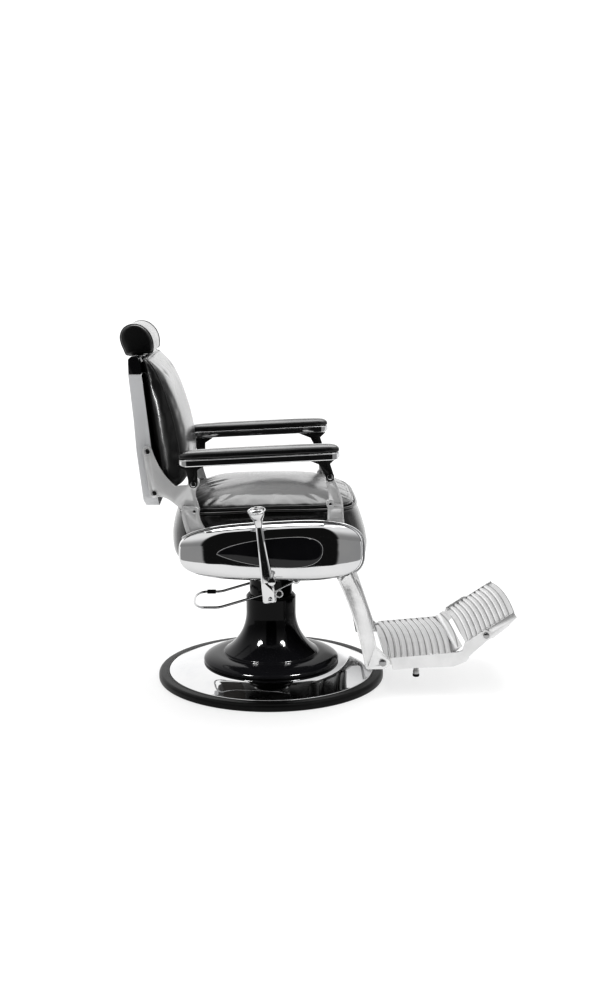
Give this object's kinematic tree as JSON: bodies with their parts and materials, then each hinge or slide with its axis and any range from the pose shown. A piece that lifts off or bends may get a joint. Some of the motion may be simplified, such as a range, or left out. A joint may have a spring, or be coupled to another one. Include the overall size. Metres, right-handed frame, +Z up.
{
  "type": "hydraulic barber chair",
  "caption": "Barber chair on a round chromed base: it lifts, swivels and reclines, with linked armrests, a leg rest that follows the back and a toe board that flips over.",
  "frame": {"origin": "centre of the round base, on the floor", "axes": "+X towards the chair's front, +Y to the sitter's left, +Z up"},
  "size_m": [1.1601, 0.7278, 1.094],
  "materials": {
    "rubber": "matte",
    "chrome": "mirror polished",
    "black_enamel": "gloss",
    "steel": "satin",
    "vinyl": "semi gloss",
    "gloss_black": "gloss",
    "satin_silver": "satin",
    "cast_aluminium": "polished",
    "dark_steel": "gloss",
    "plywood": "raw"
  },
  "bodies": {
    "base": {"floor_plate": "steel", "base_dish": "chrome", "base_rim": "rubber", "pedestal": "black_enamel", "base_bolts": "steel", "neck_seal": "rubber", "cylinder_barrel": "steel"},
    "column": {"column_tube": "black_enamel", "ram": "steel", "column_head": "steel", "swivel_bearing": "steel"},
    "seat": {"seat_frame": "steel", "seat_board": "plywood", "seat_base": "vinyl", "seat_welt": "vinyl", "seat_cushion": "vinyl", "side_casing_right": "chrome", "side_casing_left": "chrome", "casing_beads": "chrome", "casing_inlays": "gloss_black", "rear_post_right": "chrome", "rear_post_left": "chrome", "front_socket_right": "chrome", "front_socket_left": "chrome", "legrest_shaft": "steel"},
    "pump_bail": {"pump_bail": "chrome", "bail_sleeve": "rubber"},
    "recline_lever": {"recline_lever": "chrome", "lever_cup": "chrome", "lever_shaft": "steel", "lever_bolt": "chrome"},
    "backrest": {"back_shell": "satin_silver", "back_board": "plywood", "back_cushion": "vinyl", "back_bracket_right": "chrome", "back_bracket_left": "chrome", "bracket_bolts": "steel", "recline_pins": "steel", "headrest_socket": "gloss_black"},
    "arm_links": {"front_link_right": "chrome", "front_link_left": "chrome", "knee_pins": "steel"},
    "armrests": {"arm_tray_right": "chrome", "arm_tray_left": "chrome", "arm_pad_right": "vinyl", "arm_pad_left": "vinyl", "arm_struts": "dark_steel", "arm_bolts": "chrome"},
    "legrest": {"leg_arm_right": "cast_aluminium", "leg_arm_left": "cast_aluminium", "leg_crossbars": "steel", "calf_pad": "vinyl", "foot_platform": "cast_aluminium", "platform_bolts": "chrome", "platform_feet": "steel"},
    "toe_board": {"toe_plate": "cast_aluminium", "toe_pad": "vinyl", "toe_bolts": "chrome"},
    "headrest": {"headrest_post": "steel", "headrest_cushion": "vinyl"}
  },
  "joints": [
    {"name": "lift", "type": "slide", "parent": "base", "child": "column", "axis": [0, 0, 1], "range_m": [0, 0.16]},
    {"name": "swivel", "type": "hinge", "parent": "column", "child": "seat", "pos_m": [0, 0, 0.35], "axis": [0, 0, 1], "continuous": true},
    {"name": "pump", "type": "hinge", "parent": "seat", "child": "pump_bail", "pos_m": [0.075, 0, 0.326], "axis": [0, -1, 0], "range_deg": [0, 12], "stiffness_Nm_per_rad": 6, "springref_deg": -20.05},
    {"name": "recline_release", "type": "hinge", "parent": "seat", "child": "recline_lever", "pos_m": [-0.002, 0, 0.387], "axis": [0, -1, 0], "range_deg": [0, 15], "stiffness_Nm_per_rad": 10, "springref_deg": -14.32},
    {"name": "recline", "type": "hinge", "parent": "seat", "child": "backrest", "pos_m": [-0.219, 0, 0.57603], "axis": [0, -1, 0], "range_deg": [0, 45]},
    {"name": "arm_link_swing", "type": "hinge", "parent": "seat", "child": "arm_links", "pos_m": [0.167, 0, 0.59503], "axis": [0, -1, 0], "range_deg": [0, 45]},
    {"name": "armrest_level", "type": "hinge", "parent": "arm_links", "child": "armrests", "pos_m": [0.165, 0, 0.674], "axis": [0, -1, 0], "range_deg": [-45, 0]},
    {"name": "legrest_swing", "type": "hinge", "parent": "seat", "child": "legrest", "pos_m": [0.215, 0, 0.385], "axis": [0, -1, 0], "range_deg": [0, 36]},
    {"name": "toe_flip", "type": "hinge", "parent": "legrest", "child": "toe_board", "pos_m": [0.638, 0, 0.178], "axis": [0, -1, 0], "range_deg": [0, 145]},
    {"name": "headrest_height", "type": "slide", "parent": "backrest", "child": "headrest", "axis": [-0.1097, 0, 0.994], "range_m": [0, 0.08]}
  ],
  "couplings": [
    {"joint": "arm_link_swing", "follows": "recline", "ratio": 1},
    {"joint": "armrest_level", "follows": "recline", "ratio": -1},
    {"joint": "legrest_swing", "follows": "recline", "ratio": 0.8}
  ]
}
